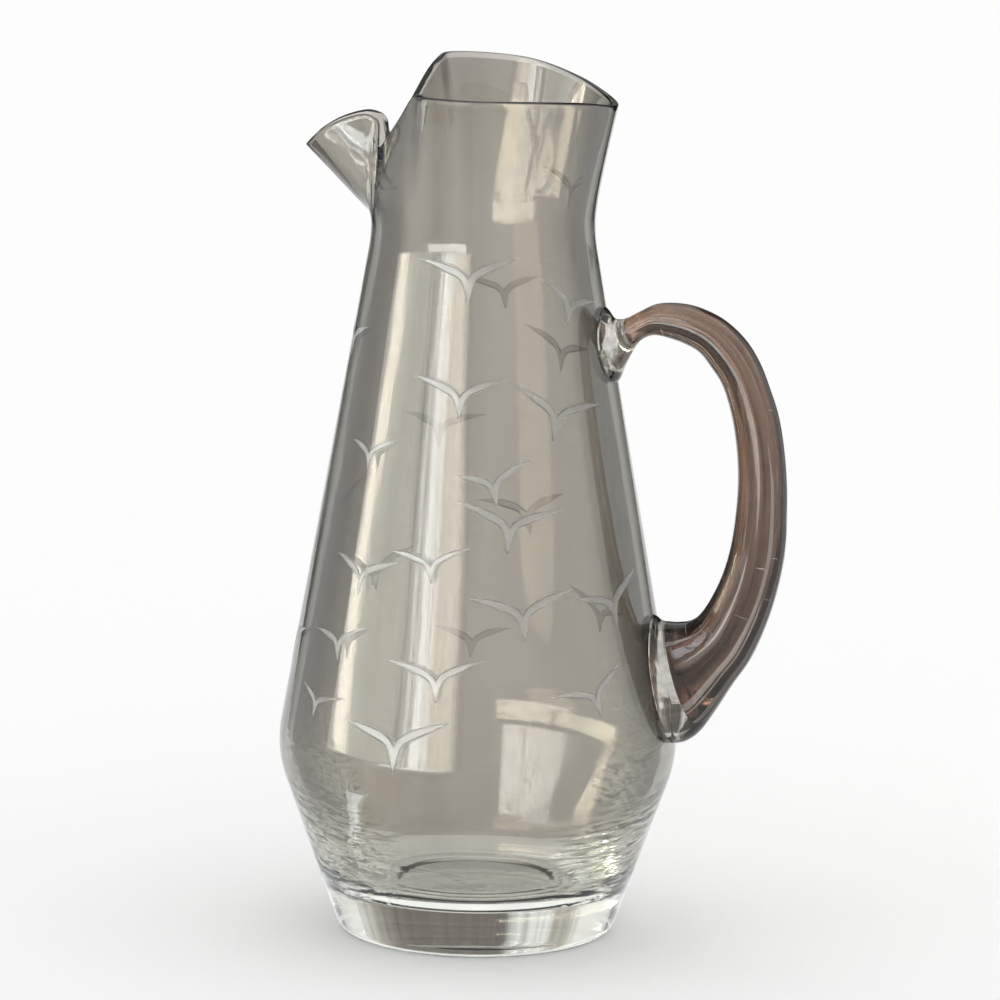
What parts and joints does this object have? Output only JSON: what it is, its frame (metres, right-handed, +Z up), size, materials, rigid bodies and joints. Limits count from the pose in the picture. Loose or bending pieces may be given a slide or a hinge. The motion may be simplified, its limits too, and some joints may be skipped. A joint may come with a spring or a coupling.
{
  "type": "cocktail pitcher",
  "caption": "Blown glass cocktail pitcher: thick base, tall tapering body, flared collar, pinched pouring spout, and an applied handle of tinted glass cased in clear.",
  "frame": {"origin": "centre of the ground base, on the table", "axes": "+Z up the pitcher, +X towards the handle, -X towards the spout"},
  "size_m": [0.1594, 0.1242, 0.2726],
  "materials": {
    "clear_glass": "clear blown glass with a faint grey tone",
    "casing_glass": "clear glass drawn over the tinted rod",
    "rose_glass": "rose brown tinted glass"
  },
  "bodies": {
    "root": {"body": "clear_glass", "handle_casing": "casing_glass", "handle_core": "rose_glass"}
  },
  "joints": []
}
